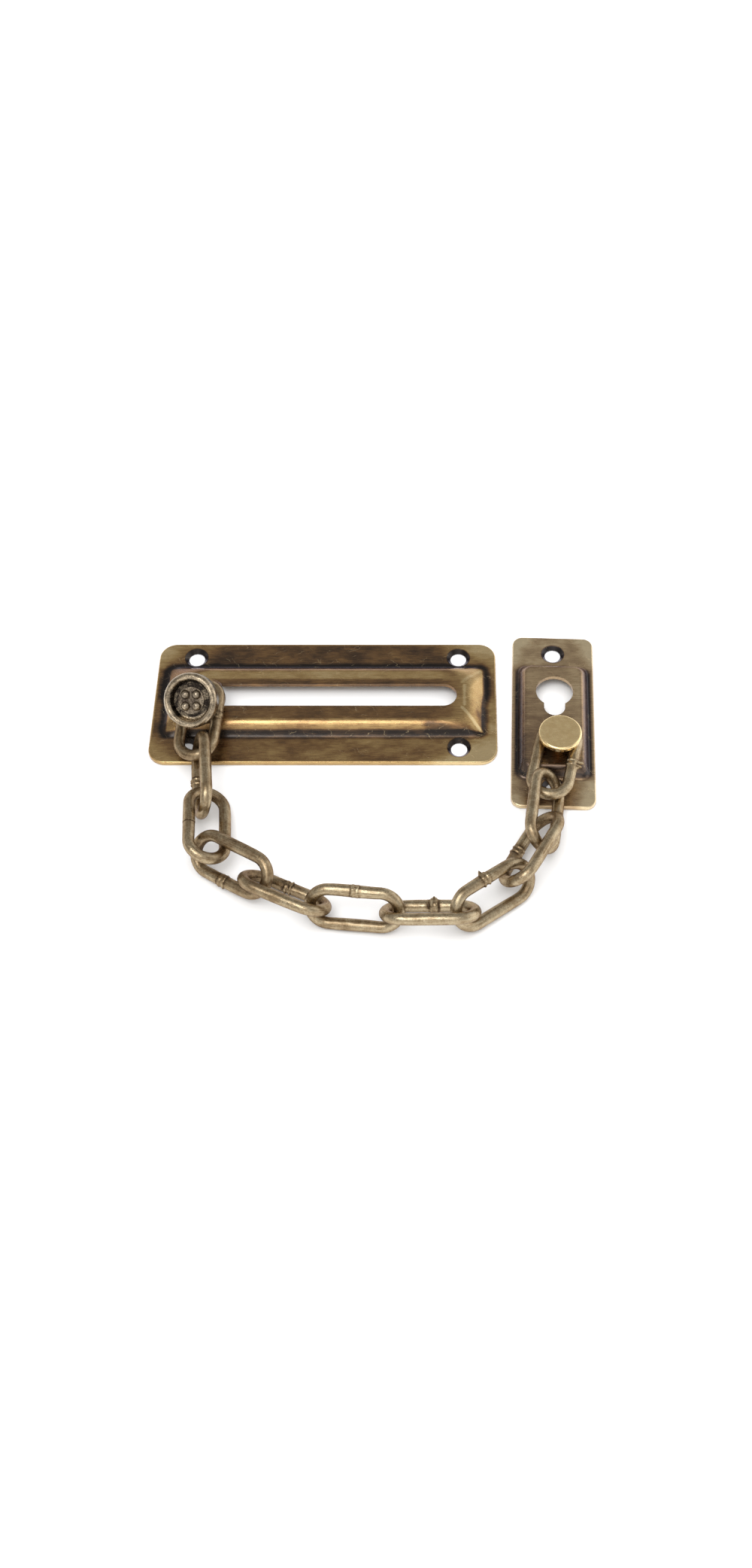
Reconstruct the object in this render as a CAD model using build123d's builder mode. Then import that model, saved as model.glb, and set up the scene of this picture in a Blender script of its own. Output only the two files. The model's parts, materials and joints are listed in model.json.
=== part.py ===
"""Door chain guard: slotted track plate, sliding button, eleven-link chain and frame plate.

Millimetres, +Z up.  The origin is the centre of the track plate's back face.  +X runs along the
slot, away from the entry hole, and -Y is the side that the chain lies on.  Both plates lie with
their backs at Z = 0, and so does the surface that the chain rests on.
"""

import os
from math import cos, radians, sin, sqrt

from build123d import *

# ---- sheet and screw holes, shared by both plates ----
SHEET = 1.2                   # thickness of the pressed steel
BOSS_TOP = 4.5                # height of the raised boss above the back face
EDGE_ROUND = 0.45             # rolled outer edge of the sheet
SCREW_R = 2.35                # clear hole of a countersunk screw
SINK_R = 3.35                 # mouth of the countersink
SINK_ANGLE = 90

# ---- the boss's flank, foot to crest: (share of the way in, share of the way up) ----
FLANK = ((0.0, 0.0), (0.14, 0.06), (0.34, 0.30), (0.62, 0.72), (0.84, 0.94), (1.0, 1.0))

# ---- track plate ----
TRACK_LENGTH = 100.0
TRACK_WIDTH = 43.8
TRACK_CORNER = 5.0
TRACK_SCREW_X = 39.0
TRACK_SCREW_Y = 16.6
TRACK_FOOT = (95.0, 26.6, 2.4)        # length, width and corner radius where the boss starts
TRACK_CREST = (82.0, 17.6, 8.0)       # the same on top, nearly a full round at its ends
SLOT_WIDTH = 8.0
SLOT_END_X = 34.4                     # centre of the slot's round end
ENTRY_X = -35.0                       # centre of the round entry hole
ENTRY_R = 6.2

# ---- frame plate, which holds the fixed stud ----
FRAME_CENTRE = (66.3, -6.4)
FRAME_TURN = -2.0                     # degrees about Z, as it lies
FRAME_SIZE = (23.9, 61.5)
FRAME_CORNER = 3.0
FRAME_SCREW_Y = 24.4
FRAME_FOOT = (21.0, 41.2, 2.6)
FRAME_CREST = (16.0, 35.2, 2.4)
FRAME_BOSS_Y = -0.9                   # the boss is pressed a little nearer the stud's end
PARK_HOLE = (0.3, 7.8)                # round part of the keyhole
PARK_R = 5.4
PARK_NECK_WIDTH = 6.1
PARK_NECK_Y = 2.0
STUD_PLACE = (1.5, -11.2)

# ---- stud on the frame plate ----
STUD_SHANK_R = 2.4
STUD_GAP = 3.9                        # room for one link between the boss and the head
STUD_HEAD_R = 6.1
STUD_HEAD_THICK = 1.9
STUD_HEAD_EDGE = (0.8, 0.7)           # rounded edge of the head: width and depth
STUD_CROWN = 0.05                     # rise of the head's face from its edge to its middle
STUD_TAIL_R = 3.9
STUD_TAIL_THICK = 1.1
STUD_BEVEL = 0.4                      # underside of the head and edge of the tail

# ---- button that slides in the track ----
BUTTON_PIVOT = (-33.5, -1.15, 4.15)   # where its shank crosses the slot
BUTTON_LEAN = (-0.20, -0.63, 0.75)    # direction of its shank: it leans on the slot's edge
SHANK_R = 1.7
FLANGE_DEPTH = 1.5                    # pivot to the flange's upper face
FLANGE_R = 4.4
FLANGE_TAIL_R = 2.8
FLANGE_THICK = 1.0
FLANGE_RIM = 0.3                      # straight part of the flange's edge
CAP_REACH = 12.4                      # pivot to the cap's underside
CAP_R = 7.8
CAP_HEIGHT = 4.4
CAP_RIM = 2.2                         # width of the raised rim
CAP_RECESS = 2.3                      # depth of the dish inside the rim
CAP_FOOT = (0.9, 0.2, 0.8)            # bevel of its lower edge: width at the foot, above it, height
CAP_SHOULDER = 1.3                    # depth of the rim's outer round
CAP_DISH_SLOPE = (0.4, 1.4)           # the dish's side: its run, and how far down it starts
ROSETTE_R = 3.8
ROSETTE_THICK = 0.5
LOBE_R = 1.35
LOBE_PLACE_R = 2.3

# ---- chain ----
WIRE = 3.3
LINK_LENGTH = 27.2
LINK_WIDTH = 13.6
BEND_R = (LINK_WIDTH - WIRE) / 2
HALF_BAR = (LINK_LENGTH - LINK_WIDTH) / 2

# How each link lies: centre x and y, then heading, pitch and roll of its long axis in degrees,
# then how far its lowest point is above the surface.
LINK_POSES = (
    (-35.1, -11.3, -92.4, -3.7, 10.8, 4.2),
    (-32.8, -30.4, -83.5, -2.6, 71.6, 0.4),
    (-30.1, -46.8, -84.7, 8.5, -24.4, 1.7),
    (-22.5, -59.2, -33.1, 6.8, 43.8, 0.1),
    (-7.9, -67.7, -25.1, 0.1, -43.1, 0.3),
    (11.0, -72.9, -6.0, 1.0, 61.0, 0.0),
    (30.9, -74.0, -1.1, 3.0, -40.0, 0.7),
    (47.6, -68.6, 36.7, -2.9, 54.8, 0.0),
    (58.2, -55.0, 61.1, -1.3, -43.8, 2.0),
    (62.3, -42.4, 82.4, -2.0, 48.8, 1.5),
    (65.7, -24.9, 77.4, -0.6, -0.0, 4.8),
)


def save(part, name):
    """Label a finished piece and write its STEP file."""
    part.label = name
    export_step(part, f"parts/{name}.step")


def between(low, high, share):
    """The value that share of the way from low to high."""
    return low + (high - low) * share


def boss_outlines(foot, crest, base_height):
    """The boss's height, length, width and corner radius at each step of its flank."""
    for inward, upward in FLANK:
        height = between(base_height, base_height + BOSS_TOP - SHEET, upward)
        length, width, corner = (between(foot[i], crest[i], inward) for i in range(3))
        yield height, length, width, corner


def pressed_plate(plane, size, corner, foot, crest, boss_y=0):
    """A sheet with rounded corners and a hollow boss pressed up in its middle."""
    with BuildPart() as hollow:
        for height, length, width, bend in boss_outlines(foot, crest, 0):
            with BuildSketch(plane.offset(height)):
                with Locations((0, boss_y)):
                    RectangleRounded(length, width, bend)
        loft()
    with BuildPart() as plate:
        with BuildSketch(plane):
            RectangleRounded(*size, corner)
        extrude(amount=SHEET)
        outer_edges = plate.faces().sort_by(Axis.Z)[-1].edges()
        fillet(outer_edges, EDGE_ROUND)
        for height, length, width, bend in boss_outlines(foot, crest, SHEET):
            with BuildSketch(plane.offset(height)):
                with Locations((0, boss_y)):
                    RectangleRounded(length, width, bend)
        loft()
        add(hollow.part, mode=Mode.SUBTRACT)
    return plate.part


def track_plate():
    """The slotted plate that the button slides in."""
    sheet = pressed_plate(Plane.XY, (TRACK_LENGTH, TRACK_WIDTH), TRACK_CORNER, TRACK_FOOT, TRACK_CREST)
    with BuildPart() as track:
        add(sheet)
        with BuildSketch():
            with Locations(((ENTRY_X + SLOT_END_X) / 2, 0)):
                SlotCenterToCenter(SLOT_END_X - ENTRY_X, SLOT_WIDTH)
            with Locations((ENTRY_X, 0)):
                Circle(ENTRY_R)
        extrude(amount=BOSS_TOP + SHEET, mode=Mode.SUBTRACT)
        with Locations((0, 0, SHEET)):
            with GridLocations(2 * TRACK_SCREW_X, 2 * TRACK_SCREW_Y, 2, 2):
                CounterSinkHole(SCREW_R, SINK_R, counter_sink_angle=SINK_ANGLE)
    return track.part


def frame_plate(plane):
    """The narrow plate with a parking keyhole and the fixed stud's hole."""
    sheet = pressed_plate(plane, FRAME_SIZE, FRAME_CORNER, FRAME_FOOT, FRAME_CREST, FRAME_BOSS_Y)
    neck_length = PARK_HOLE[1] - PARK_NECK_Y
    with BuildPart() as frame:
        add(sheet)
        with BuildSketch(plane):
            with Locations(PARK_HOLE):
                Circle(PARK_R)
            with Locations((PARK_HOLE[0], (PARK_HOLE[1] + PARK_NECK_Y) / 2)):
                SlotCenterToCenter(neck_length, PARK_NECK_WIDTH, rotation=90)
            with Locations(STUD_PLACE):
                Circle(STUD_SHANK_R)
        extrude(amount=BOSS_TOP + SHEET, mode=Mode.SUBTRACT)
        with Locations(plane.offset(SHEET)):
            with GridLocations(0, 2 * FRAME_SCREW_Y, 1, 2):
                CounterSinkHole(SCREW_R, SINK_R, counter_sink_angle=SINK_ANGLE)
    return frame.part


def fixed_stud(plane):
    """Brass rivet with a low domed head, a bare shank and a peened tail behind the boss."""
    under_sheet = BOSS_TOP - SHEET
    head_base = BOSS_TOP + STUD_GAP
    head_top = head_base + STUD_HEAD_THICK
    edge_width, edge_depth = STUD_HEAD_EDGE
    with BuildPart() as stud:
        with BuildSketch(Plane(plane.origin, x_dir=plane.x_dir, z_dir=-plane.y_dir)):
            with BuildLine():
                Polyline(
                    (0, under_sheet - STUD_TAIL_THICK),
                    (STUD_TAIL_R - STUD_BEVEL, under_sheet - STUD_TAIL_THICK),
                    (STUD_TAIL_R, under_sheet - STUD_BEVEL),
                    (STUD_TAIL_R, under_sheet),
                    (STUD_SHANK_R, under_sheet),
                    (STUD_SHANK_R, head_base),
                    (STUD_HEAD_R - STUD_BEVEL, head_base),
                    (STUD_HEAD_R, head_base + STUD_BEVEL),
                    (STUD_HEAD_R, head_top - edge_depth),
                )
                ThreePointArc(
                    (STUD_HEAD_R, head_top - edge_depth),
                    (STUD_HEAD_R - 0.3 * edge_width, head_top - 0.3 * edge_depth),
                    (STUD_HEAD_R - edge_width, head_top - STUD_CROWN),
                )
                Line((STUD_HEAD_R - edge_width, head_top - STUD_CROWN), (0, head_top))
                Line((0, head_top), (0, under_sheet - STUD_TAIL_THICK))
            make_face()
        revolve(axis=Axis(plane.origin, plane.z_dir))
    return stud.part


def button_rivet(plane):
    """Shank with the flange that runs behind the slot, and a staked four-lobed end."""
    rosette_base = CAP_REACH + CAP_HEIGHT - CAP_RECESS
    flange_top = -FLANGE_DEPTH
    with BuildPart() as rivet:
        with BuildSketch(plane.offset(flange_top - FLANGE_THICK)):
            Circle(FLANGE_TAIL_R)
        with BuildSketch(plane.offset(flange_top - FLANGE_RIM)):
            Circle(FLANGE_R)
        loft()
        with BuildSketch(plane.offset(flange_top - FLANGE_RIM)):
            Circle(FLANGE_R)
        extrude(amount=FLANGE_RIM)
        with BuildSketch(plane.offset(flange_top)):
            Circle(SHANK_R)
        extrude(amount=rosette_base - flange_top)
        with BuildSketch(plane.offset(rosette_base)):
            Circle(ROSETTE_R)
        extrude(amount=ROSETTE_THICK)
        with Locations(plane.offset(rosette_base + ROSETTE_THICK)):
            with PolarLocations(LOBE_PLACE_R, 4, start_angle=45):
                Sphere(LOBE_R)
        with BuildSketch(plane.offset(rosette_base)):
            Circle(ROSETTE_R)
        extrude(amount=-LOBE_R, mode=Mode.SUBTRACT)
        with BuildSketch(plane.offset(rosette_base - LOBE_R)):
            Circle(SHANK_R)
        extrude(amount=LOBE_R)
    return rivet.part


def button_cap(plane):
    """Turned knob with a rolled rim round a shallow dish."""
    outline_plane = Plane(plane.origin, x_dir=plane.x_dir, z_dir=-plane.y_dir)
    base = CAP_REACH
    top = CAP_REACH + CAP_HEIGHT
    dish = top - CAP_RECESS
    dish_r = CAP_R - CAP_RIM
    crown_r = CAP_R - CAP_RIM / 2
    foot_run, foot_step, foot_height = CAP_FOOT
    slope_run, slope_top = CAP_DISH_SLOPE
    shoulder = top - CAP_SHOULDER
    dish_edge = top - slope_top
    with BuildPart() as cap:
        with BuildSketch(outline_plane):
            with BuildLine():
                Polyline(
                    (SHANK_R, base),
                    (CAP_R - foot_run, base),
                    (CAP_R - foot_step, base + foot_height),
                    (CAP_R, shoulder),
                )
                ThreePointArc((CAP_R, shoulder), (between(crown_r, CAP_R, 0.7), top - 0.4), (crown_r, top))
                ThreePointArc((crown_r, top), (between(dish_r, crown_r, 0.3), top - 0.5), (dish_r, dish_edge))
                Polyline(
                    (dish_r, dish_edge),
                    (dish_r - slope_run, dish),
                    (SHANK_R, dish),
                    (SHANK_R, base),
                )
            make_face()
        revolve(axis=Axis(plane.origin, plane.z_dir))
    return cap.part


def link_plane(pose):
    """Where a link lies: X is its long axis and Z is square to its loop."""
    x, y, heading, pitch, roll, lift = pose
    along = Vector(1, 0, 0).rotate(Axis.Y, -pitch).rotate(Axis.Z, heading)
    level = Vector(0, 1, 0).rotate(Axis.Z, heading)
    across = level.rotate(Axis((0, 0, 0), along), roll)
    reach = HALF_BAR * abs(along.Z) + BEND_R * sqrt(along.Z**2 + across.Z**2)
    return Plane((x, y, lift + WIRE / 2 + reach), x_dir=along, z_dir=along.cross(across))


def chain_link(plane):
    """One welded link: round wire bent into a long loop."""
    with BuildPart() as link:
        with BuildLine(plane) as loop:
            Line((-HALF_BAR, -BEND_R), (HALF_BAR, -BEND_R))
            ThreePointArc((HALF_BAR, -BEND_R), (HALF_BAR + BEND_R, 0), (HALF_BAR, BEND_R))
            Line((HALF_BAR, BEND_R), (-HALF_BAR, BEND_R))
            ThreePointArc((-HALF_BAR, BEND_R), (-HALF_BAR - BEND_R, 0), (-HALF_BAR, -BEND_R))
        start = plane.from_local_coords(Vector(-HALF_BAR, -BEND_R, 0))
        with BuildSketch(Plane(start, x_dir=plane.y_dir, z_dir=plane.x_dir)):
            Circle(WIRE / 2)
        sweep(path=loop.wire())
    return link.part


os.makedirs("parts", exist_ok=True)

FRAME_PLANE = Plane((*FRAME_CENTRE, 0), x_dir=(cos(radians(FRAME_TURN)), sin(radians(FRAME_TURN)), 0))
STUD_PLANE = Plane(FRAME_PLANE.from_local_coords(Vector(*STUD_PLACE, 0)), x_dir=FRAME_PLANE.x_dir)
BUTTON_PLANE = Plane(BUTTON_PIVOT, x_dir=(1, 0, 0), z_dir=BUTTON_LEAN)

save(track_plate(), "track_plate")
save(frame_plate(FRAME_PLANE), "frame_plate")
save(fixed_stud(STUD_PLANE), "frame_stud")
save(button_rivet(BUTTON_PLANE), "button_rivet")
save(button_cap(BUTTON_PLANE), "button_cap")
for number, pose in enumerate(LINK_POSES, start=1):
    save(chain_link(link_plane(pose)), f"link_{number:02d}")
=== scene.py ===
"""Looks of the door chain guard: antique-brass plates, welded chain, button and brass stud."""

import json
import math
import random

import bmesh
import bpy
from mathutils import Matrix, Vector, noise


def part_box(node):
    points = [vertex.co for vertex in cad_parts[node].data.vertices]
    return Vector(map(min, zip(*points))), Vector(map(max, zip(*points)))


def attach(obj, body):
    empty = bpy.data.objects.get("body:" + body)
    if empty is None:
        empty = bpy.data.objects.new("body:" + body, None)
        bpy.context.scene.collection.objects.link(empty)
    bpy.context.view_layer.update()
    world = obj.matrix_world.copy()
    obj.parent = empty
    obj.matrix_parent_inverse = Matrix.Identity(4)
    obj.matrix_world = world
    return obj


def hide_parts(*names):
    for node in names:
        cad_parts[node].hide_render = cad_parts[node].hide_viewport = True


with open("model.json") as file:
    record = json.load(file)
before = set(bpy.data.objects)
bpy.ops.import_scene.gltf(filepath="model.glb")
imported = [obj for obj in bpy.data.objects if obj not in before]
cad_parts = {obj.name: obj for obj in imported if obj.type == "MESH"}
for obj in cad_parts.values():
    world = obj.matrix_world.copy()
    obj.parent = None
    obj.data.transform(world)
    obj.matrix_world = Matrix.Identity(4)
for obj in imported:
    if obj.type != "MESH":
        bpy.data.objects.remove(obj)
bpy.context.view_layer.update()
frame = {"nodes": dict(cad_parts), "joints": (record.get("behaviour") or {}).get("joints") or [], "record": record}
NODES = frame["nodes"]
JOINTS = {joint["name"]: joint for joint in frame["joints"]}
MOUNTS = {mount["name"]: mount for mount in frame["record"]["mounts"]}
MM = 0.001


# ---------------------------------------------------------------- node helpers

class Wire:
    """A number, colour or vector inside one material's node tree."""

    def __init__(self, net, socket):
        self.net = net
        self.socket = socket

    def __add__(self, other):
        return self.net.math("ADD", self, other)

    def __sub__(self, other):
        return self.net.math("SUBTRACT", self, other)

    def __mul__(self, other):
        return self.net.math("MULTIPLY", self, other)


class Net:
    """Builds the nodes of one material, or of the world."""

    def __init__(self, owner):
        self.owner = owner
        owner.use_nodes = True
        self.tree = owner.node_tree

    def node(self, kind, **settings):
        made = self.tree.nodes.new(kind)
        for key, value in settings.items():
            setattr(made, key, value)
        return made

    def put(self, value, socket):
        if isinstance(value, Wire):
            self.tree.links.new(value.socket, socket)
        else:
            socket.default_value = value

    def math(self, kind, *values, clamp=False):
        made = self.node("ShaderNodeMath", operation=kind, use_clamp=clamp)
        for value, socket in zip(values, made.inputs):
            self.put(value, socket)
        return Wire(self, made.outputs[0])

    def most(self, *values):
        """The largest of several numbers."""
        found = values[0]
        for value in values[1:]:
            found = self.math("MAXIMUM", found, value)
        return found

    def split(self, vector):
        made = self.node("ShaderNodeSeparateXYZ")
        self.put(vector, made.inputs[0])
        return [Wire(self, out) for out in made.outputs]

    def vector(self, x, y, z):
        made = self.node("ShaderNodeCombineXYZ")
        for value, socket in zip((x, y, z), made.inputs):
            self.put(value, socket)
        return Wire(self, made.outputs[0])

    def place(self, origin=(0, 0, 0), axes=None):
        """The point at rest in millimetres, in the row frame or from an origin along three axes."""
        coords = Wire(self, self.node("ShaderNodeTexCoord").outputs["Object"])
        moved = self.node("ShaderNodeVectorMath", operation="SUBTRACT")
        self.put(coords, moved.inputs[0])
        moved.inputs[1].default_value = origin
        scaled = self.node("ShaderNodeVectorMath", operation="SCALE")
        self.put(Wire(self, moved.outputs[0]), scaled.inputs[0])
        scaled.inputs["Scale"].default_value = 1000
        point = Wire(self, scaled.outputs[0])
        if axes is None:
            return self.split(point)
        return [self.dot(point, axis) for axis in axes]

    def dot(self, vector, axis):
        made = self.node("ShaderNodeVectorMath", operation="DOT_PRODUCT")
        self.put(vector, made.inputs[0])
        made.inputs[1].default_value = tuple(axis)
        return Wire(self, made.outputs["Value"])

    def noise(self, where, scale, detail=2.0, rough=0.5, spread=0.0):
        """Noise around 0.5; spread above 0 stretches its contrast to that half-width."""
        made = self.node("ShaderNodeTexNoise")
        self.put(where, made.inputs["Vector"])
        made.inputs["Scale"].default_value = scale
        made.inputs["Detail"].default_value = detail
        made.inputs["Roughness"].default_value = rough
        found = Wire(self, made.outputs[0])
        if spread:
            return self.step(found, 0.5 - spread, 0.5 + spread)
        return found

    def step(self, value, low, high, out_low=0.0, out_high=1.0):
        """A smooth step from out_low at low to out_high at high."""
        made = self.node("ShaderNodeMapRange", interpolation_type="SMOOTHSTEP")
        for given, name in ((value, "Value"), (low, "From Min"), (high, "From Max"),
                            (out_low, "To Min"), (out_high, "To Max")):
            self.put(given, made.inputs[name])
        return Wire(self, made.outputs[0])

    def mix(self, share, first, second):
        made = self.node("ShaderNodeMix", data_type="RGBA")
        self.put(share, made.inputs["Factor"])
        for value, index in ((first, 6), (second, 7)):
            if isinstance(value, Wire):
                self.put(value, made.inputs[index])
            else:
                made.inputs[index].default_value = (*value, 1)
        return Wire(self, made.outputs[2])

    def ramp(self, share, stops):
        """A colour that runs through stops of (place, colour)."""
        made = self.node("ShaderNodeValToRGB")
        self.put(share, made.inputs[0])
        points = made.color_ramp.elements
        while len(points) < len(stops):
            points.new(0.5)
        for point, (where, colour) in zip(points, stops):
            point.position = where
            point.color = (*colour, 1)
        return Wire(self, made.outputs[0])

    def attribute(self, name):
        made = self.node("ShaderNodeAttribute", attribute_name=name)
        return Wire(self, made.outputs["Fac"])

    def bump(self, height, distance_mm, strength=1.0):
        made = self.node("ShaderNodeBump")
        made.inputs["Strength"].default_value = strength
        made.inputs["Distance"].default_value = distance_mm * MM
        self.put(height, made.inputs["Height"])
        return Wire(self, made.outputs[0])


def metal(name, build, coat=0.0, coat_rough=0.2, edge=(1, 1, 1)):
    """A metal whose colour, roughness and fine relief come from build(net)."""
    material = bpy.data.materials.new(name)
    net = Net(material)
    colour, rough, normal = build(net)
    shader = net.tree.nodes["Principled BSDF"]
    net.put(colour, shader.inputs["Base Color"])
    net.put(rough, shader.inputs["Roughness"])
    net.put(normal, shader.inputs["Normal"])
    shader.inputs["Metallic"].default_value = 1.0
    shader.inputs["Specular Tint"].default_value = (*edge, 1)
    shader.inputs["Coat Weight"].default_value = coat
    shader.inputs["Coat Roughness"].default_value = coat_rough
    return material


def wear(piece, material):
    """Give a piece its material, in its one material slot."""
    piece.data.materials.clear()
    piece.data.materials.append(material)
    for polygon in piece.data.polygons:
        polygon.material_index = 0


def box_distance(net, x, y, half_x, half_y, corner):
    """Distance outside a rounded rectangle, in millimetres, and negative inside it."""
    qx = net.math("ABSOLUTE", x) - (half_x - corner)
    qy = net.math("ABSOLUTE", y) - (half_y - corner)
    ox = net.math("MAXIMUM", qx, 0.0)
    oy = net.math("MAXIMUM", qy, 0.0)
    outside = net.math("SQRT", ox * ox + oy * oy)
    inside = net.math("MINIMUM", net.math("MAXIMUM", qx, qy), 0.0)
    return outside + inside - corner


def ring_distance(net, x, y, centre_x, centre_y):
    """Distance from a point of the plate, in millimetres."""
    dx = x - centre_x
    dy = y - centre_y
    return net.math("SQRT", dx * dx + dy * dy)


# ---------------------------------------------------------------- pressed plates

# Corner radius of each plate, then its boss where it starts and on top: length or width along X,
# the other along Y, and corner radius, all in millimetres.
TRACK_CORNER = 5.0
TRACK_FOOT = (95.0, 26.6, 2.4)
TRACK_CREST = (82.0, 17.6, 8.0)
FRAME_CORNER = 3.0
FRAME_FOOT = (21.0, 41.2, 2.6)
FRAME_CREST = (16.0, 35.2, 2.4)
FRAME_BOSS_Y = -0.9                   # how far the boss is off the middle of the plate
FRAME_TURN = math.radians(-2)         # how the plate lies, about Z

# The plating from its darkest to its most worn: (share, colour).
TRACK_PATINA = (
    (0.0, (0.024, 0.018, 0.015)),
    (0.28, (0.115, 0.068, 0.037)),
    (0.50, (0.275, 0.153, 0.062)),
    (0.76, (0.520, 0.350, 0.145)),
    (1.0, (0.720, 0.550, 0.290)),
)
FRAME_PATINA = (
    (0.0, (0.026, 0.021, 0.020)),
    (0.28, (0.118, 0.078, 0.054)),
    (0.50, (0.300, 0.198, 0.112)),
    (0.76, (0.540, 0.395, 0.225)),
    (1.0, (0.760, 0.620, 0.390)),
)
BARE = (0.66, 0.52, 0.30)             # metal laid bare by a scratch
PLATE_EDGE_TINT = (0.75, 0.7, 0.8)
SINK_DARK = (3.0, 3.7)                # where the darkening round a screw hole ends, from its middle


def plate_look(net, centre, turn, size, corner, foot, crest, screws, tones):
    """Brushed antique brass: bright on rims, corners and the boss, dark round its foot from patina and painted
    shade.
    """
    ux = (math.cos(turn), math.sin(turn), 0)
    uy = (-math.sin(turn), math.cos(turn), 0)
    x, y, z = net.place(centre, (ux, uy, (0, 0, 1)))
    rim = box_distance(net, x, y, size[0] / 2, size[1] / 2, corner) * -1.0
    boss_y = y - tones["boss_y"]
    off_foot = box_distance(net, x, boss_y, foot[0] / 2, foot[1] / 2, foot[2])
    off_crest = box_distance(net, x, boss_y, crest[0] / 2, crest[1] / 2, crest[2])
    clouds = net.noise(net.vector(x * 0.05, y * 0.11, z * 0.1), 1.6, 3.0, 0.6, 0.22)
    blots = net.noise(net.vector(x * 0.16, y * 0.3, z * 0.2), 1.5, 4.0, 0.65, 0.2)
    brushed = net.noise(net.vector(x * 0.10, y * 3.2, z * 1.5), 2.2, 3.0, 0.7, 0.25)
    # the outer corners, where polishing bites
    to_corner = net.math("ABSOLUTE", x) * (2.0 / size[0])
    to_corner = to_corner + net.math("ABSOLUTE", y) * (2.0 / size[1])
    corner_wear = net.step(to_corner, 1.36, 1.9)
    rim_wear = net.step(rim, 0.25, 1.5, 1.0, 0.0)
    # dark band round the boss's foot: patina in the hollow and painted shade; low_shift moves it further up the
    # flank on the near side
    low_side = net.step(y, -3.0, 3.0, tones["low_shift"], 0.0)
    grime_and_shade_edge = off_foot + low_side
    foot_grime_and_shade = net.step(grime_and_shade_edge, -1.7, -0.9)
    foot_grime_and_shade = foot_grime_and_shade * net.step(grime_and_shade_edge, -0.4, tones["grime_and_shade_reach"], 1.0, 0.0)
    flange_tone = tones["flange"](net, x, y)
    bright = flange_tone + (clouds - 0.5) * 0.24 + (blots - 0.5) * 0.14
    bright = bright + corner_wear * 0.5
    bright = net.most(bright, rim_wear * 0.72)
    on_boss = net.step(off_foot, -1.3, -0.3, 1.0, 0.0)
    on_crest = net.step(off_crest, -0.7, 0.9, 1.0, 0.0)
    boss_tone = tones["boss"](net, x, y, on_crest)
    boss_tone = boss_tone + (clouds - 0.5) * 0.14 + (blots - 0.5) * 0.10
    bright = bright + on_boss * (boss_tone - bright) - foot_grime_and_shade * tones["grime_and_shade"]
    near_screw = None
    for sx, sy in screws:
        gap = net.step(ring_distance(net, x, y, sx, sy), *SINK_DARK, 1.0, 0.0)
        near_screw = gap if near_screw is None else net.most(near_screw, gap)
    bright = bright - near_screw * 0.95
    bright = bright + (brushed - 0.5) * 0.22
    shade = net.math("MAXIMUM", bright, 0.0, clamp=True)
    colour = net.ramp(shade, tones["patina"])
    # a few fine scratches that cut through to bright metal
    bent_x = x + blots * 1.4
    bent_y = y + clouds * 2.0
    steep = net.vector(bent_x * 0.9 + bent_y * 0.7, bent_y * 0.03, 0.0)
    shallow = net.vector(bent_x * 0.04, bent_y * 1.2 - bent_x * 0.55, 0.0)
    first = net.noise(steep, 5.0, 0.0, 0.5)
    second = net.noise(shallow, 4.6, 0.0, 0.5)
    gate = net.noise(net.vector(x * 0.12, y * 0.2, z), 2.0, 1.0, 0.5, 0.12)
    cut = net.most(net.step(first, 0.755, 0.79), net.step(second, 0.76, 0.80)) * gate
    colour = net.mix(cut * 0.6, colour, BARE)
    rough = net.step(shade, 0.0, 1.0, *tones["rough"])
    rough = rough + (brushed - 0.5) * 0.12 + (blots - 0.5) * 0.08
    fine_along = net.noise(net.vector(x * 0.35, y * 14.0, z * 14.0), 2.0, 2.0, 0.6)
    dents = net.noise(net.vector(x, y, z), 0.22, 2.0, 0.5)
    relief = fine_along * 0.35 + dents * 2.2 - cut * 0.5
    return colour, rough, net.bump(relief, 0.05, 0.6)


def plate_frame(node, turn):
    """A turned plate's middle, on the surface, and its own size in millimetres."""
    low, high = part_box(node)
    centre = (low + high) / 2
    spread = high - low
    c, s = abs(math.cos(turn)), abs(math.sin(turn))
    across = (spread.x * c - spread.y * s) / (c * c - s * s)
    along = (spread.y * c - spread.x * s) / (c * c - s * s)
    return (centre.x, centre.y, 0), (across * 1000, along * 1000)


def track_flange(net, x, y):
    """How worn the flat border of the track plate is, from 0 dark to 1 bright."""
    low_side = net.step(y, -2.0, 2.0, 0.55, 0.34)
    left_dark = net.step(x, -36.0, -20.0, -0.22, 0.0) * net.step(y, -10.0, 0.0, 1.0, 0.3)
    right_gold = net.step(x, 30.0, 48.0, 0.0, 0.22)
    top_left = net.step(x, -50.0, -40.0, 0.22, 0.0) * net.step(y, 0.0, 14.0)
    return low_side + left_dark + right_gold + top_left


def streak(net, x, y, start, finish, width):
    """1 on a soft line from start to finish, and 0 a width away from it."""
    dx, dy = finish[0] - start[0], finish[1] - start[1]
    length = math.hypot(dx, dy)
    ahead = (x - start[0]) * (dx / length) + (y - start[1]) * (dy / length)
    beyond = net.most(ahead * -1.0, ahead - length, 0.0)
    aside = net.math("ABSOLUTE", (x - start[0]) * (dy / length) - (y - start[1]) * (dx / length))
    return net.step(aside + beyond, 0.0, width, 1.0, 0.0)


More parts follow.
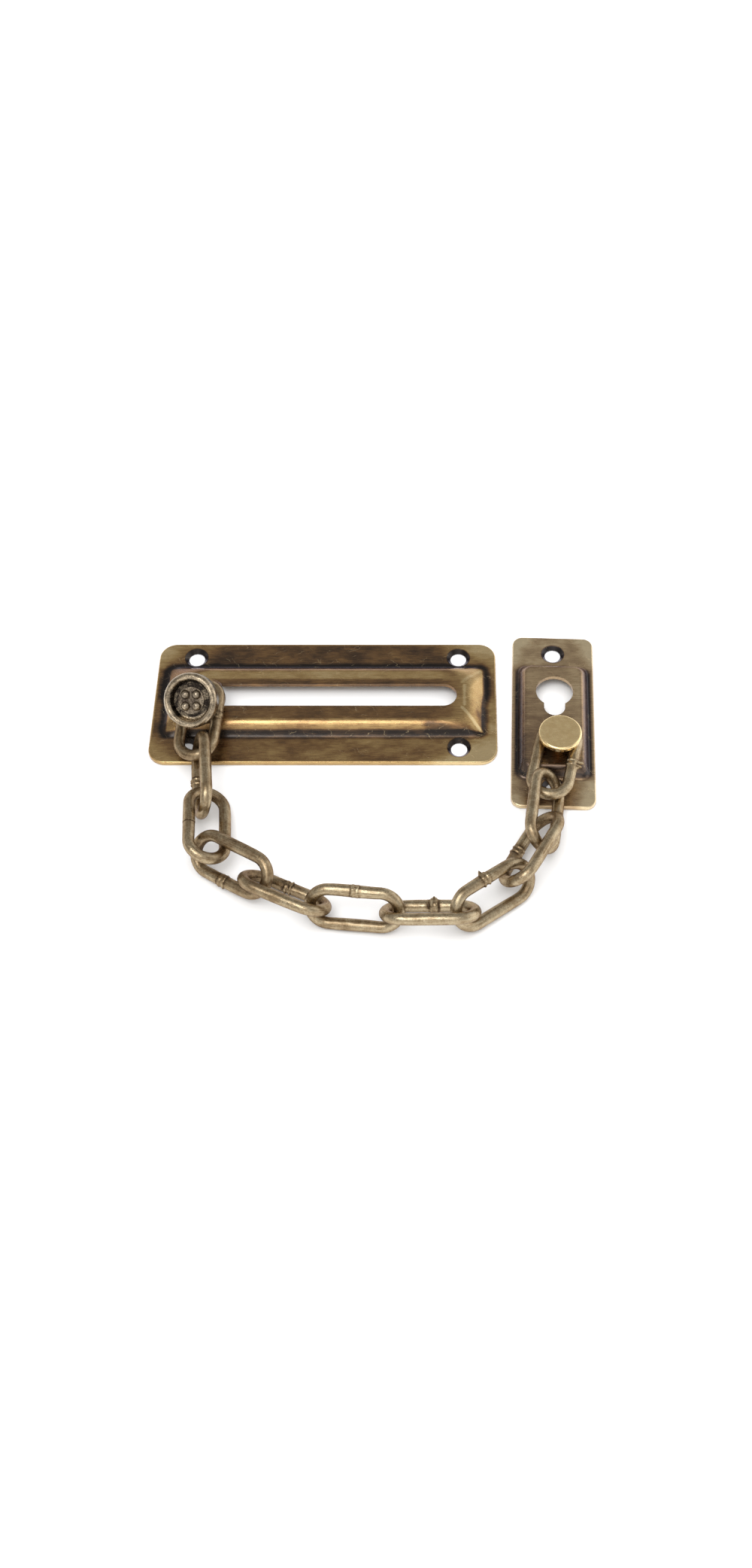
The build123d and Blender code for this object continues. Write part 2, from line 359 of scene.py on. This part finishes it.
def track_boss(net, x, y, on_crest):
    """Tone of the track's boss: browner bars beside the slot, the near flank and the right end painted lighter as
    painted highlight, and painted highlights and painted shade along the hips at its right end.
    """
    # the near flank painted lighter than the far one: painted highlight
    flank = net.step(y, -2.0, 2.0, 0.62, 0.45)
    # the right end's flank and crest painted lighter: painted highlight
    end = net.step(x, 33.0, 40.0)
    flank = flank + end * (net.step(y, -9.0, 9.0, 0.66, 0.76) - flank)
    slot_line = streak(net, x, y, (-40.0, 5.6), (34.0, 5.6), 0.7)
    top_bar = net.step(y, 4.4, 6.4, 0.36, 0.78) - slot_line * 0.16
    low_bar = net.step(y, -8.9, -8.2, 0.60, 0.42)
    bars = top_bar + net.step(y, -1.0, 1.0, 1.0, 0.0) * (low_bar - top_bar)
    bars = bars + end * (bars * -1.0 + 0.62)
    tone = flank + on_crest * (bars - flank)
    # painted shade beside the lower hip at the right end
    shade = streak(net, x, y, (30.0, -10.5), (42.0, -11.5), 2.6) * 0.34
    shade = shade + streak(net, x, y, (44.5, -5.0), (45.5, -9.5), 1.3) * 0.2
    # glow: painted highlights along the lower hip, along the crest's edge at the right end, and faintly along the
    # upper hip
    glow = streak(net, x, y, (39.8, -4.4), (45.6, -11.3), 0.8) * 0.5
    glow = glow + streak(net, x, y, (40.6, -3.6), (40.6, 3.6), 0.8) * 0.34
    glow = glow + streak(net, x, y, (39.8, 4.6), (45.4, 11.0), 0.9) * 0.16
    return tone - shade + glow


def frame_flange(net, x, y):
    """How worn the border of the frame plate is: dark at its sides, bright at its ends."""
    sides = net.step(net.math("ABSOLUTE", x), 9.0, 10.4)
    middle = net.step(net.math("ABSOLUTE", y + 1.0), 16.0, 22.0, 1.0, 0.0)
    ends = net.step(y, -4.0, 4.0, 0.64, 0.72)
    low_left = net.step(x, -4.0, 4.0, -0.22, 0.06) * net.step(y, -24.0, -18.0, 1.0, 0.0)
    return ends + low_left - sides * middle * 0.52


def frame_boss(net, x, y, on_crest):
    """The frame's boss: painted shade darkens it towards the bottom, where the stud's head and link 11 lie over
    it, so it is lighter towards its parking hole.
    """
    # crest and flank darker towards the bottom: painted shade under the stud's head and link 11
    crest = net.step(y, -14.0, 14.0, 0.48, 0.68) + net.step(x, 2.0, 8.0, 0.0, 0.14)
    flank = net.step(y, -20.0, 4.0, 0.20, 0.44)
    return flank + on_crest * (crest - flank)


pattern = MOUNTS["track_screws"]["dims"]
track_screws = [(sx * pattern["spacing_x_mm"] / 2, sy * pattern["spacing_y_mm"] / 2)
                for sx in (-1, 1) for sy in (-1, 1)]
centre, size = plate_frame("track_plate", 0.0)
TRACK_TONES = {"flange": track_flange, "boss": track_boss, "grime_and_shade_reach": 1.6, "grime_and_shade": 0.6,
               "boss_y": 0.0, "low_shift": 0.7,
               "rough": (0.30, 0.27), "patina": TRACK_PATINA}
wear(NODES["track_plate"], metal("antique_brass_track", lambda net: plate_look(
    net, centre, 0.0, size, TRACK_CORNER, TRACK_FOOT, TRACK_CREST, track_screws, TRACK_TONES),
    coat=0.35, coat_rough=0.22, edge=PLATE_EDGE_TINT))

half_pitch = MOUNTS["frame_screws"]["dims"]["pcd_mm"] / 2
frame_centre, frame_size = plate_frame("frame_plate", FRAME_TURN)
FRAME_TONES = {"flange": frame_flange, "boss": frame_boss, "grime_and_shade_reach": 0.8, "grime_and_shade": 0.30,
               "boss_y": FRAME_BOSS_Y, "low_shift": 0.0,
               "rough": (0.30, 0.30), "patina": FRAME_PATINA}
wear(NODES["frame_plate"], metal("antique_brass_frame", lambda net: plate_look(
    net, frame_centre, FRAME_TURN, frame_size, FRAME_CORNER, FRAME_FOOT, FRAME_CREST,
    [(0, half_pitch), (0, -half_pitch)], FRAME_TONES),
    coat=0.4, coat_rough=0.22, edge=PLATE_EDGE_TINT))


# ---------------------------------------------------------------- stud and button

BUTTON_LEAN = (-0.20, -0.63, 0.75)    # direction of the button's shank
LEVEL = ((1, 0, 0), (0, 1, 0), (0, 0, 1))


def axis_frame(axis):
    """Three axes, the last along the given one."""
    up = Vector(axis).normalized()
    side = Vector((0, 1, 0)).cross(up).normalized()
    return side, up.cross(side), up


def stud_look(net, origin, axes):
    """Bright brass, paler on the head and its rim."""
    x, y, z = net.place(origin, axes)
    radius = ring_distance(net, x, y, 0.0, 0.0)
    blots = net.noise(net.vector(x, y, z), 0.7, 3.0, 0.6, 0.2)
    lines = net.noise(net.vector(x * 0.25, y * 5.0, z), 1.6, 2.0, 0.6, 0.25)
    head = net.step(z, 8.0, 8.6)
    rim = net.step(radius, 5.0, 5.7)
    tone = head * 0.66 + rim * 0.2 + (blots - 0.5) * 0.34 + (lines - 0.5) * 0.16
    worn = net.math("MAXIMUM", tone, 0.0, clamp=True)
    colour = net.mix(worn, (0.48, 0.31, 0.12), (1.0, 0.78, 0.42))
    rough = net.step(tone, 0.2, 0.9, 0.40, 0.24) + (lines - 0.5) * 0.08
    relief = lines * 0.3 + blots * 0.5
    return colour, rough, net.bump(relief, 0.04, 0.5)


def button_look(net, origin, axes, top, rim_r, bright, dark):
    """Dark plating, polished on the rim and on the side wall, with a painted highlight at the near side of the
    dish.
    """
    x, y, z = net.place(origin, axes)
    radius = ring_distance(net, x, y, 0.0, 0.0)
    blots = net.noise(net.vector(x, y, z), 0.55, 4.0, 0.65, 0.2)
    specks = net.noise(net.vector(x, y, z), 2.4, 2.0, 0.6, 0.16)
    rings = net.noise(net.vector(radius * 3.0, z * 3.0, 0.0), 2.0, 2.0, 0.6, 0.25)
    on_rim = net.step(radius, rim_r - 2.6, rim_r - 1.4)
    high = net.step(z, top - 1.7, top - 0.3)
    # glint: a painted highlight on the dish's wall at its near side
    glint = net.step(radius, rim_r - 3.4, rim_r - 2.6)
    glint = glint * net.step(radius, rim_r - 1.9, rim_r - 1.5, 1.0, 0.0)
    glint = glint * net.step(y, -4.4, -3.4, 1.0, 0.0) * 0.9
    tone = on_rim * high * 0.5 + (blots - 0.5) * 0.5
    tone = tone + (specks - 0.5) * 0.25 + (rings - 0.5) * 0.1 + glint
    side_wall = net.step(radius, rim_r - 0.5, rim_r - 0.1) * 0.2
    tone = tone + side_wall + 0.06
    colour = net.mix(net.math("MAXIMUM", tone, 0.0, clamp=True), dark, bright)
    rough = net.step(tone, 0.1, 0.9, 0.34, 0.2) + (specks - 0.5) * 0.1
    relief = blots * 0.9 + rings * 0.4 + specks * 0.3
    return colour, rough, net.bump(relief, 0.06, 0.7)


stud_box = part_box("frame_stud")
stud_centre = (stud_box[0] + stud_box[1]) / 2
stud_origin = (stud_centre.x, stud_centre.y, 0)
wear(NODES["frame_stud"], metal("stud_brass", lambda net: stud_look(
    net, stud_origin, LEVEL), coat=0.15, coat_rough=0.2))

pivot = Vector(JOINTS["link_01_swing"]["pos_m"])
lean = axis_frame(BUTTON_LEAN)
cap_points = [vertex.co - pivot for vertex in NODES["button_cap"].data.vertices]
cap_reach = max(point.dot(lean[2]) for point in cap_points) * 1000
cap_radius = max((point - lean[2] * point.dot(lean[2])).length for point in cap_points) * 1000
wear(NODES["button_cap"], metal("button_bronze", lambda net: button_look(
    net, tuple(pivot), lean, cap_reach, cap_radius, (0.56, 0.45, 0.31), (0.020, 0.015, 0.012)),
    coat=0.12, coat_rough=0.12))
wear(NODES["button_rivet"], metal("rivet_bronze", lambda net: button_look(
    net, tuple(pivot), lean, cap_reach, 3.0, (0.50, 0.41, 0.29), (0.075, 0.055, 0.04)),
    coat=0.3, coat_rough=0.12))


# ---------------------------------------------------------------- chain links

def chain_look(net):
    """Bronze wire with draw lines along it, grime in its welds, and grime with painted shade inside its bends."""
    x, y, z = net.place()
    tone_map = net.noise(net.vector(x, y, z), 0.035, 2.0, 0.5, 0.18)
    blots = net.noise(net.vector(x, y, z), 0.33, 4.0, 0.65, 0.2)
    specks = net.noise(net.vector(x, y, z), 1.9, 3.0, 0.6, 0.16)
    # grime at the welds, and grime with painted shade on the inside of the bends
    grime_and_shade = net.attribute("grime_and_shade")
    lines = net.vector(net.attribute("turn") * 3.0, net.attribute("run") * 0.05, 0.0)
    draw = net.noise(lines, 2.6, 2.0, 0.6, 0.25)
    tone = (blots - 0.5) * 0.36 + (specks - 0.5) * 0.2 + (tone_map - 0.5) * 0.25
    tone = tone + (draw - 0.5) * 0.34 + grime_and_shade * -0.8 + 0.62
    shade = net.math("MAXIMUM", tone, 0.0, clamp=True)
    low = net.mix(net.step(shade, 0.0, 0.5), (0.075, 0.048, 0.026), (0.25, 0.175, 0.095))
    colour = net.mix(net.step(shade, 0.35, 1.0), low, (0.47, 0.385, 0.25))
    rough = net.step(shade, 0.1, 1.0, 0.42, 0.27) + (specks - 0.5) * 0.12
    relief = draw * 0.5 + specks * 0.35 + blots * 0.6
    return colour, rough, net.bump(relief, 0.05, 0.7)


CHAIN = metal("chain_bronze", chain_look, coat=0.2, coat_rough=0.25, edge=(0.5, 0.42, 0.4))

# Where each link's weld shows: the way from its middle to the welded bar, the way its flash
# stands out, how high the flash is in millimetres, and how it looks.
WELDS = {
    "link_01": ((1, 0, 0), (0, 0, -1), 0.25, "ridge"),
    "link_02": ((-1, 0, 0), (-1, 0, 0), 0.3, "ridge"),
    "link_03": ((-1, 0, 0), (-0.3, -0.2, 1), 0.0, "seam"),
    "link_04": ((-0.4, -1, -0.3), (0, 0, -1), 0.3, "ridge"),
    "link_05": ((0.3, 1, 0.5), (0, -0.3, 1), 0.3, "pitted"),
    "link_06": ((0, 1, 0.4), (0, -0.35, 1), 0.45, "ridge"),
    "link_07": ((0, 1, 0.4), (0, 1, 0.6), 0.85, "split"),
    "link_08": ((-0.6, 1, 0.4), (-0.5, 0.9, 0.5), 1.1, "nub"),
    "link_09": ((-1, 0.7, 0.3), (0.7, -0.6, 0.5), 0.55, "ridge"),
    "link_10": ((1, -0.4, 0), (0.5, -0.3, -1), 0.3, "ridge"),
    "link_11": ((1, 0, 0), (1, -0.2, 0.25), 1.5, "hook"),
}


def link_frame(node):
    """The middle of a link, the way along it, the way across its loop, and its normal."""
    points = [v.co for v in node.data.vertices]
    low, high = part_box(node.name)
    middle = (low + high) / 2
    far = max(points, key=lambda p: (p - middle).length)
    along = (far - middle).normalized()
    for _ in range(6):
        ends = sorted(points, key=lambda p: (p - middle).dot(along))
        near = sum(ends[:40], Vector()) / 40
        away = sum(ends[-40:], Vector()) / 40
        along = (away - near).normalized()
    wide = max(points, key=lambda p: ((p - middle) - along * (p - middle).dot(along)).length)
    across = (wide - middle)
    across = (across - along * across.dot(along)).normalized()
    flat = along.cross(across)
    # turn about the long axis until the link is thinnest
    best = None
    for step in range(-40, 41):
        angle = math.radians(step * 0.75)
        tried = flat * math.cos(angle) + across * math.sin(angle)
        extent = [(p - middle).dot(tried) for p in points]
        thick = max(extent) - min(extent)
        if best is None or thick < best[0]:
            best = (thick, tried)
    flat = best[1].normalized()
    across = flat.cross(along).normalized()
    return middle, along, across, flat


def smooth_bell(x, width):
    """1 at x = 0, falling smoothly to near 0 at twice the width."""
    return math.exp(-(x / width) ** 2)


ARC_STEPS = 22                        # rings round each bend
BAR_STEPS = 14                        # rings along the plain bar
AROUND = 40                           # points round the wire
WANDER = 0.06                         # how far a bar strays from true, in millimetres
FLATTENING = 0.014                    # how far the wire is from round, as a share
BEND_THINNING = 0.05                  # radius that the wire loses in its bends, in millimetres
# how dark the inside of each bend is painted: grime and painted shade
BEND_SHADE_AND_GRIME = 0.30


def link_stations(bar, weld_at):
    """Where a link's rings are: (part of the loop, place on it), close together at the weld."""
    stations = []
    position = -bar
    while position < bar:
        stations.append(("weld", position))
        near = abs(position - weld_at)
        if near < 1.6 * MM:
            position += 0.11 * MM
        else:
            position += (0.6 if near < 2.6 * MM else 0.8) * MM
    stations += [("turn_a", i / ARC_STEPS) for i in range(ARC_STEPS)]
    stations += [("plain", -bar + 2 * bar * i / BAR_STEPS) for i in range(BAR_STEPS)]
    stations += [("turn_b", i / ARC_STEPS) for i in range(ARC_STEPS)]
    return stations


def loop_point(part, where, bar, bend):
    """The middle of the wire at a station, and the way out of the loop there."""
    if part == "weld":
        return Vector((where, bend)), Vector((0, 1))
    if part == "plain":
        return Vector((-where, -bend)), Vector((0, -1))
    side = 1 if part == "turn_a" else -1
    angle = side * math.pi / 2 - math.pi * where
    out = Vector((math.cos(angle), math.sin(angle)))
    return Vector((side * bar, 0)) + out * bend, out


def half_turn(angle):
    """The same angle, from -pi to pi."""
    return (angle + math.pi) % (2 * math.pi) - math.pi


def weld_shape(kind, flash, at, angle, turn, seed):
    """The weld's extra radius in millimetres and its grime, at a distance from its middle.

    angle is the place round the wire, and turn is the same from where the flash stands out.
    """
    if kind == "seam":
        extra = 0.04 * smooth_bell(at - 0.5, 0.5) - 0.10 * smooth_bell(at, 0.14)
        return extra, 0.9 * smooth_bell(at, 0.2)
    uneven = noise.noise(Vector((at * 1.3, angle * 1.7, seed * 3.1)))
    # a low bead with a raised collar on each side of its seam
    extra = 0.10 * smooth_bell(at, 1.3) * (1 + uneven)
    extra += 0.16 * (1 + 1.5 * uneven) * smooth_bell(abs(at) - 0.75, 0.22)
    extra -= 0.07 * smooth_bell(at, 0.3)
    grime_and_shade = 0.75 * smooth_bell(abs(at) - 1.25, 0.28) + 0.35 * smooth_bell(at, 0.35)
    grime_and_shade *= 0.7 + 0.6 * uneven
    if kind in ("nub", "ridge"):
        extra += flash * smooth_bell(at - 0.2, 0.42) * smooth_bell(turn, 0.34)
    elif kind == "hook":
        lobe = smooth_bell(at - 0.55, 0.4) + smooth_bell(at + 0.75, 0.36) * 0.8
        extra += flash * lobe * smooth_bell(turn, 0.3)
        grime_and_shade += 0.9 * smooth_bell(at + 0.1, 0.22) * smooth_bell(turn, 0.7)
    elif kind == "split":
        lobe = smooth_bell(at, 0.5) * smooth_bell(turn, 0.3)
        sides = smooth_bell(at - 1.5, 0.3) + smooth_bell(at + 1.5, 0.3)
        sides *= smooth_bell(half_turn(turn + 1.5), 0.6)
        extra += flash * lobe - 0.28 * sides
        grime_and_shade += 1.2 * sides
    elif kind == "pitted":
        pits = max(0.0, noise.noise(Vector((at * 2.2, angle * 3.1, seed))) - 0.12)
        extra -= 0.5 * pits * smooth_bell(at, 2.2)
        grime_and_shade += 2.6 * pits * smooth_bell(at, 2.2)
    return extra, grime_and_shade


def build_link(name, seed):
    """A bent and butt-welded wire link with its flash, on the path of the CAD link."""
    node = NODES[name]
    middle, along, across, flat = link_frame(node)
    points = [v.co - middle for v in node.data.vertices]
    half_length = max(p.dot(along) for p in points)
    half_width = max(p.dot(across) for p in points)
    wire = max(p.dot(flat) for p in points)
    bend = half_width - wire
    bar = half_length - half_width
    to_bar, to_flash, flash, kind = WELDS[name]
    if across.dot(Vector(to_bar)) < 0:
        across.negate()
        flat.negate()
    aim = Vector(to_flash)
    aim_angle = math.atan2(aim.dot(flat), aim.dot(across))
    rng = random.Random(seed)
    phase = [rng.uniform(0, 6.28) for _ in range(6)]
    weld_at = rng.uniform(-0.9, 0.9) * MM
    mesh = bmesh.new()
    layers = [mesh.verts.layers.float.new(n) for n in ("grime_and_shade", "turn", "run")]
    rings = []
    run = 0.0
    before = None
    for part, where in link_stations(bar, weld_at):
        centre, out = loop_point(part, where, bar, bend)
        if before is not None:
            run += (centre - before).length * 1000
        before = centre
        in_bend = part.startswith("turn")
        outward = along * out.x + across * out.y
        base = middle + along * centre.x + across * centre.y
        # the bars wander a little, and the bends, where links bear on each other, keep true
        loose = 0.0 if in_bend else 1 - (abs(where) / bar) ** 4
        base += flat * WANDER * loose * MM * math.sin(run * 0.2 + phase[0])
        base += outward * WANDER * loose * MM * math.sin(run * 0.16 + phase[1])
        ring = []
        for k in range(AROUND):
            angle = 2 * math.pi * k / AROUND
            uneven = FLATTENING * math.sin(run * 0.31 + phase[2]) * math.cos(2 * angle + phase[3])
            radius = wire * (1 + uneven * loose) - BEND_THINNING * MM * (1 - loose)
            grime_and_shade = 0.0
            if part == "weld":
                at = (where - weld_at) * 1000
                extra, grime_and_shade = weld_shape(kind, flash, at, angle, half_turn(angle - aim_angle), seed)
                radius += extra * MM
            if in_bend:
                # inside of each bend darkened: grime and painted shade where the next link lies
                grime_and_shade += BEND_SHADE_AND_GRIME * max(0.0, -math.cos(angle)) * math.sin(math.pi * where)
            offset = outward * math.cos(angle) + flat * math.sin(angle)
            vert = mesh.verts.new(base + offset * radius)
            vert[layers[0]] = min(1.0, max(0.0, grime_and_shade))
            vert[layers[1]] = angle if angle < math.pi else 2 * math.pi - angle
            vert[layers[2]] = run + seed * 17.0
            ring.append(vert)
        rings.append(ring)
    for first, second in zip(rings, rings[1:] + rings[:1]):
        for k in range(AROUND):
            after = (k + 1) % AROUND
            face = mesh.faces.new((first[k], first[after], second[after], second[k]))
            face.smooth = True
    bmesh.ops.recalc_face_normals(mesh, faces=mesh.faces)
    data = bpy.data.meshes.new(name + "_welded")
    mesh.to_mesh(data)
    mesh.free()
    piece = bpy.data.objects.new(name + "_welded", data)
    bpy.context.scene.collection.objects.link(piece)
    wear(piece, CHAIN)
    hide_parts(name)
    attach(piece, name)


for index in range(1, 12):
    build_link(f"link_{index:02d}", index)


# ---------------------------------------------------------------- floor, light, camera

FLOOR_SIZE = 6
FLOOR_DROP = 0.0002                   # keeps the floor clear of the plates' backs

bpy.ops.mesh.primitive_plane_add(size=FLOOR_SIZE, location=(0, 0, -FLOOR_DROP))
floor = bpy.context.object
floor.name = "floor"
floor_paint = bpy.data.materials.new("pale_floor")
floor_paint.use_nodes = True
floor_shader = floor_paint.node_tree.nodes["Principled BSDF"]
floor_shader.inputs["Base Color"].default_value = (0.87, 0.87, 0.87, 1)
floor_shader.inputs["Roughness"].default_value = 0.9
floor_shader.inputs["Specular IOR Level"].default_value = 0.2
floor.data.materials.append(floor_paint)

world = bpy.data.worlds.new("studio")
bpy.context.scene.world = world
sky = Net(world)
way = Wire(sky, sky.node("ShaderNodeTexCoord").outputs["Generated"])
wz = sky.split(way)[2]


def sky_patch(toward, low, high, power):
    """A soft bright patch of the world round one direction."""
    return sky.step(sky.dot(way, Vector(toward).normalized()), low, high, 0.0, power)


horizon = sky.step(sky.math("ABSOLUTE", wz), 0.05, 0.42, 0.85, 0.0)
overhead = sky_patch((-0.06, -0.36, 0.93), 0.86, 0.985, 1.0)
side = sky_patch((0.86, 0.2, 0.42), 0.75, 0.97, 0.9)
front = sky_patch((0.1, -0.9, 0.42), 0.7, 0.97, 0.5)
glow = horizon + overhead + (side + front) + 0.42
backdrop = sky.tree.nodes["Background"]
sky.put(glow, backdrop.inputs["Strength"])
backdrop.inputs["Color"].default_value = (1.0, 0.99, 0.985, 1)


def soft_light(name, place, target, size, power, in_metal=True):
    """A rectangular area light; in_metal False keeps it out of the reflections."""
    lamp = bpy.data.lights.new(name, "AREA")
    lamp.shape = "RECTANGLE"
    lamp.size, lamp.size_y = size
    lamp.energy = power
    made = bpy.data.objects.new(name, lamp)
    bpy.context.scene.collection.objects.link(made)
    made.location = place
    made.rotation_euler = (Vector(target) - Vector(place)).to_track_quat("-Z", "Y").to_euler()
    made.visible_glossy = in_metal


MIDDLE = (0.02, -0.02, 0)             # of the object, where the lights point
soft_light("key", (-0.25, -0.35, 0.9), MIDDLE, (0.5, 0.4), 3.0)
soft_light("fill", (0.1, 0.1, 1.2), MIDDLE, (1.6, 1.6), 14.0, in_metal=False)

camera_data = bpy.data.cameras.new("camera")
camera = bpy.data.objects.new("camera", camera_data)
bpy.context.scene.collection.objects.link(camera)
camera.location = (0.03328, -0.28823, 0.37090)
camera.rotation_euler = (math.radians(35), 0, 0)
camera_data.lens = 36.79
camera_data.sensor_width = 36
camera_data.shift_x = -0.0403
camera_data.clip_start = 0.01
bpy.context.scene.camera = camera
bpy.context.scene.view_settings.view_transform = "Standard"
